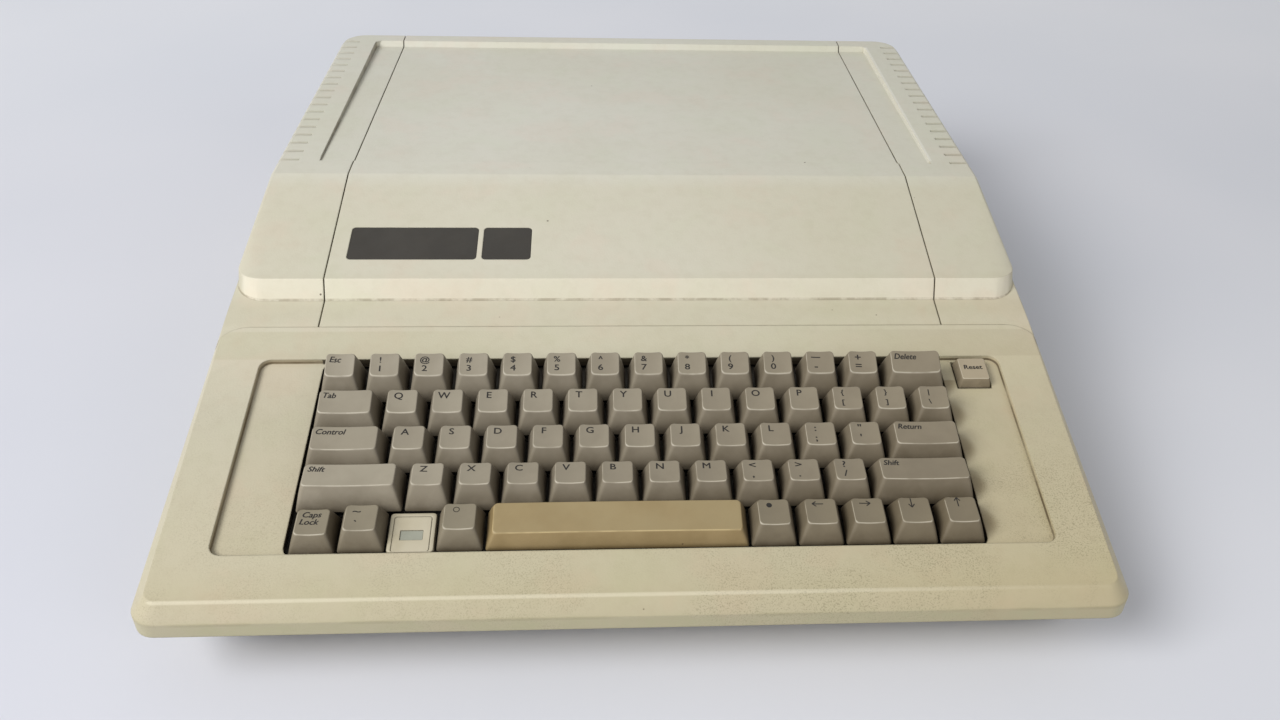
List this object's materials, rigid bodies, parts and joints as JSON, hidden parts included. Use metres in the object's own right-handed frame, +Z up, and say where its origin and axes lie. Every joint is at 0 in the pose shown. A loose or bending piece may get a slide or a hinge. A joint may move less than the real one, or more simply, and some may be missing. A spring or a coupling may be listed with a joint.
{
  "type": "vintage home computer",
  "caption": "Wedge-shaped desktop home computer with a built-in keyboard, a lift-off lid over its card bay and a power supply inside.",
  "frame": {"origin": "middle of the bounding box on the surface that the rubber feet stand on", "axes": "+X to the right as the user sees it, +Y from the front lip to the back, +Z up"},
  "size_m": [0.386, 0.457, 0.114],
  "materials": {
    "case_plastic": "fine-grained beige, yellowed",
    "key_plastic": "satin warm grey",
    "space_bar_plastic": "satin, yellowed tan",
    "badge_plastic": "satin dark brown-grey, bare",
    "lamp_plate_plastic": "satin cream",
    "lamp_lens": "frosted grey",
    "base_plastic": "fine-grained beige",
    "panel_metal": "bare and painted sheet",
    "dark_plastic": "satin black",
    "foot_rubber": "matt",
    "screw_steel": "zinc plated",
    "circuit_board": "green solder mask",
    "slot_plastic": "moulded",
    "chip_plastic": "matt black",
    "switch_plastic": "moulded",
    "lead_plastic": "ribbon cable"
  },
  "bodies": {
    "case": {"top_case": "case_plastic", "lamp_plate": "lamp_plate_plastic", "power_lamp": "lamp_lens", "base_pan": "base_plastic", "rear_panel": "panel_metal", "port_covers": "dark_plastic", "feet": "foot_rubber", "case_screws": "screw_steel", "power_supply": "panel_metal", "power_inlet": "dark_plastic", "logic_board": "circuit_board", "expansion_slots": "slot_plastic", "logic_chips": "chip_plastic", "rear_sockets": "dark_plastic", "speaker": "dark_plastic", "keyboard_frame": "panel_metal", "keyboard_board": "circuit_board", "key_switches": "switch_plastic", "keyboard_lead": "lead_plastic", "lid_catches": "dark_plastic"},
    "lid": {"lid": "case_plastic", "badge_plates": "badge_plastic"},
    "power_switch": {"power_switch": "dark_plastic"},
    "key_esc": {"key_esc": "key_plastic"},
    "key_1": {"key_1": "key_plastic"},
    "key_2": {"key_2": "key_plastic"},
    "key_3": {"key_3": "key_plastic"},
    "key_4": {"key_4": "key_plastic"},
    "key_5": {"key_5": "key_plastic"},
    "key_6": {"key_6": "key_plastic"},
    "key_7": {"key_7": "key_plastic"},
    "key_8": {"key_8": "key_plastic"},
    "key_9": {"key_9": "key_plastic"},
    "key_0": {"key_0": "key_plastic"},
    "key_minus": {"key_minus": "key_plastic"},
    "key_equals": {"key_equals": "key_plastic"},
    "key_delete": {"key_delete": "key_plastic"},
    "key_tab": {"key_tab": "key_plastic"},
    "keys_upper_letters": {"keys_upper_letters": "key_plastic"},
    "keys_brackets": {"keys_brackets": "key_plastic"},
    "key_backslash": {"key_backslash": "key_plastic"},
    "key_control": {"key_control": "key_plastic"},
    "keys_home_letters": {"keys_home_letters": "key_plastic"},
    "keys_semicolon_quote": {"keys_semicolon_quote": "key_plastic"},
    "key_return": {"key_return": "key_plastic"},
    "key_left_shift": {"key_left_shift": "key_plastic"},
    "keys_lower_letters": {"keys_lower_letters": "key_plastic"},
    "keys_comma_period": {"keys_comma_period": "key_plastic"},
    "key_slash": {"key_slash": "key_plastic"},
    "key_right_shift": {"key_right_shift": "key_plastic"},
    "key_caps_lock": {"key_caps_lock": "key_plastic"},
    "key_grave": {"key_grave": "key_plastic"},
    "key_left_command": {"key_left_command": "key_plastic"},
    "key_space": {"key_space": "space_bar_plastic"},
    "key_right_command": {"key_right_command": "key_plastic"},
    "key_arrow_left": {"key_arrow_left": "key_plastic"},
    "key_arrow_right": {"key_arrow_right": "key_plastic"},
    "key_arrow_down": {"key_arrow_down": "key_plastic"},
    "key_arrow_up": {"key_arrow_up": "key_plastic"},
    "key_reset": {"key_reset": "key_plastic"}
  },
  "joints": [
    {"name": "lid_lift", "type": "hinge", "parent": "case", "child": "lid", "pos_m": [0, -0.0859, 0.07792], "axis": [1, 0, 0], "range_deg": [0, 40]},
    {"name": "mains_rocker", "type": "hinge", "parent": "case", "child": "power_switch", "pos_m": [-0.099, 0.2118, 0.0295], "axis": [1, 0, 0], "range_deg": [0, 16]},
    {"name": "esc_press", "type": "slide", "parent": "case", "child": "key_esc", "axis": [0, 0.2334, -0.9724], "range_m": [0, 0.0038], "stiffness_N_per_m": 150, "springref_m": -0.002},
    {"name": "1_press", "type": "slide", "parent": "case", "child": "key_1", "axis": [0, 0.2334, -0.9724], "range_m": [0, 0.0038], "stiffness_N_per_m": 150, "springref_m": -0.002},
    {"name": "2_press", "type": "slide", "parent": "case", "child": "key_2", "axis": [0, 0.2334, -0.9724], "range_m": [0, 0.0038], "stiffness_N_per_m": 150, "springref_m": -0.002},
    {"name": "3_press", "type": "slide", "parent": "case", "child": "key_3", "axis": [0, 0.2334, -0.9724], "range_m": [0, 0.0038], "stiffness_N_per_m": 150, "springref_m": -0.002},
    {"name": "4_press", "type": "slide", "parent": "case", "child": "key_4", "axis": [0, 0.2334, -0.9724], "range_m": [0, 0.0038], "stiffness_N_per_m": 150, "springref_m": -0.002},
    {"name": "5_press", "type": "slide", "parent": "case", "child": "key_5", "axis": [0, 0.2334, -0.9724], "range_m": [0, 0.0038], "stiffness_N_per_m": 150, "springref_m": -0.002},
    {"name": "6_press", "type": "slide", "parent": "case", "child": "key_6", "axis": [0, 0.2334, -0.9724], "range_m": [0, 0.0038], "stiffness_N_per_m": 150, "springref_m": -0.002},
    {"name": "7_press", "type": "slide", "parent": "case", "child": "key_7", "axis": [0, 0.2334, -0.9724], "range_m": [0, 0.0038], "stiffness_N_per_m": 150, "springref_m": -0.002},
    {"name": "8_press", "type": "slide", "parent": "case", "child": "key_8", "axis": [0, 0.2334, -0.9724], "range_m": [0, 0.0038], "stiffness_N_per_m": 150, "springref_m": -0.002},
    {"name": "9_press", "type": "slide", "parent": "case", "child": "key_9", "axis": [0, 0.2334, -0.9724], "range_m": [0, 0.0038], "stiffness_N_per_m": 150, "springref_m": -0.002},
    {"name": "0_press", "type": "slide", "parent": "case", "child": "key_0", "axis": [0, 0.2334, -0.9724], "range_m": [0, 0.0038], "stiffness_N_per_m": 150, "springref_m": -0.002},
    {"name": "minus_press", "type": "slide", "parent": "case", "child": "key_minus", "axis": [0, 0.2334, -0.9724], "range_m": [0, 0.0038], "stiffness_N_per_m": 150, "springref_m": -0.002},
    {"name": "equals_press", "type": "slide", "parent": "case", "child": "key_equals", "axis": [0, 0.2334, -0.9724], "range_m": [0, 0.0038], "stiffness_N_per_m": 150, "springref_m": -0.002},
    {"name": "delete_press", "type": "slide", "parent": "case", "child": "key_delete", "axis": [0, 0.2334, -0.9724], "range_m": [0, 0.0038], "stiffness_N_per_m": 150, "springref_m": -0.002},
    {"name": "tab_press", "type": "slide", "parent": "case", "child": "key_tab", "axis": [0, 0.2334, -0.9724], "range_m": [0, 0.0038], "stiffness_N_per_m": 150, "springref_m": -0.002},
    {"name": "upper_letters_press", "type": "slide", "parent": "case", "child": "keys_upper_letters", "axis": [0, 0.2334, -0.9724], "range_m": [0, 0.0038], "stiffness_N_per_m": 150, "springref_m": -0.002},
    {"name": "brackets_press", "type": "slide", "parent": "case", "child": "keys_brackets", "axis": [0, 0.2334, -0.9724], "range_m": [0, 0.0038], "stiffness_N_per_m": 150, "springref_m": -0.002},
    {"name": "backslash_press", "type": "slide", "parent": "case", "child": "key_backslash", "axis": [0, 0.2334, -0.9724], "range_m": [0, 0.0038], "stiffness_N_per_m": 150, "springref_m": -0.002},
    {"name": "control_press", "type": "slide", "parent": "case", "child": "key_control", "axis": [0, 0.2334, -0.9724], "range_m": [0, 0.0038], "stiffness_N_per_m": 150, "springref_m": -0.002},
    {"name": "home_letters_press", "type": "slide", "parent": "case", "child": "keys_home_letters", "axis": [0, 0.2334, -0.9724], "range_m": [0, 0.0038], "stiffness_N_per_m": 150, "springref_m": -0.002},
    {"name": "semicolon_quote_press", "type": "slide", "parent": "case", "child": "keys_semicolon_quote", "axis": [0, 0.2334, -0.9724], "range_m": [0, 0.0038], "stiffness_N_per_m": 150, "springref_m": -0.002},
    {"name": "return_press", "type": "slide", "parent": "case", "child": "key_return", "axis": [0, 0.2334, -0.9724], "range_m": [0, 0.0038], "stiffness_N_per_m": 150, "springref_m": -0.002},
    {"name": "left_shift_press", "type": "slide", "parent": "case", "child": "key_left_shift", "axis": [0, 0.2334, -0.9724], "range_m": [0, 0.0038], "stiffness_N_per_m": 150, "springref_m": -0.002},
    {"name": "lower_letters_press", "type": "slide", "parent": "case", "child": "keys_lower_letters", "axis": [0, 0.2334, -0.9724], "range_m": [0, 0.0038], "stiffness_N_per_m": 150, "springref_m": -0.002},
    {"name": "comma_period_press", "type": "slide", "parent": "case", "child": "keys_comma_period", "axis": [0, 0.2334, -0.9724], "range_m": [0, 0.0038], "stiffness_N_per_m": 150, "springref_m": -0.002},
    {"name": "slash_press", "type": "slide", "parent": "case", "child": "key_slash", "axis": [0, 0.2334, -0.9724], "range_m": [0, 0.0038], "stiffness_N_per_m": 150, "springref_m": -0.002},
    {"name": "right_shift_press", "type": "slide", "parent": "case", "child": "key_right_shift", "axis": [0, 0.2334, -0.9724], "range_m": [0, 0.0038], "stiffness_N_per_m": 150, "springref_m": -0.002},
    {"name": "caps_lock_press", "type": "slide", "parent": "case", "child": "key_caps_lock", "axis": [0, 0.2334, -0.9724], "range_m": [-0.0025, 0.0013]},
    {"name": "grave_press", "type": "slide", "parent": "case", "child": "key_grave", "axis": [0, 0.2334, -0.9724], "range_m": [0, 0.0038], "stiffness_N_per_m": 150, "springref_m": -0.002},
    {"name": "left_command_press", "type": "slide", "parent": "case", "child": "key_left_command", "axis": [0, 0.2334, -0.9724], "range_m": [0, 0.0038], "stiffness_N_per_m": 150, "springref_m": -0.002},
    {"name": "space_press", "type": "slide", "parent": "case", "child": "key_space", "axis": [0, 0.2334, -0.9724], "range_m": [0, 0.0038], "stiffness_N_per_m": 150, "springref_m": -0.002},
    {"name": "right_command_press", "type": "slide", "parent": "case", "child": "key_right_command", "axis": [0, 0.2334, -0.9724], "range_m": [0, 0.0038], "stiffness_N_per_m": 150, "springref_m": -0.002},
    {"name": "arrow_left_press", "type": "slide", "parent": "case", "child": "key_arrow_left", "axis": [0, 0.2334, -0.9724], "range_m": [0, 0.0038], "stiffness_N_per_m": 150, "springref_m": -0.002},
    {"name": "arrow_right_press", "type": "slide", "parent": "case", "child": "key_arrow_right", "axis": [0, 0.2334, -0.9724], "range_m": [0, 0.0038], "stiffness_N_per_m": 150, "springref_m": -0.002},
    {"name": "arrow_down_press", "type": "slide", "parent": "case", "child": "key_arrow_down", "axis": [0, 0.2334, -0.9724], "range_m": [0, 0.0038], "stiffness_N_per_m": 150, "springref_m": -0.002},
    {"name": "arrow_up_press", "type": "slide", "parent": "case", "child": "key_arrow_up", "axis": [0, 0.2334, -0.9724], "range_m": [0, 0.0038], "stiffness_N_per_m": 150, "springref_m": -0.002},
    {"name": "reset_press", "type": "slide", "parent": "case", "child": "key_reset", "axis": [0, 0.2334, -0.9724], "range_m": [0, 0.0016], "stiffness_N_per_m": 150, "springref_m": -0.002}
  ]
}
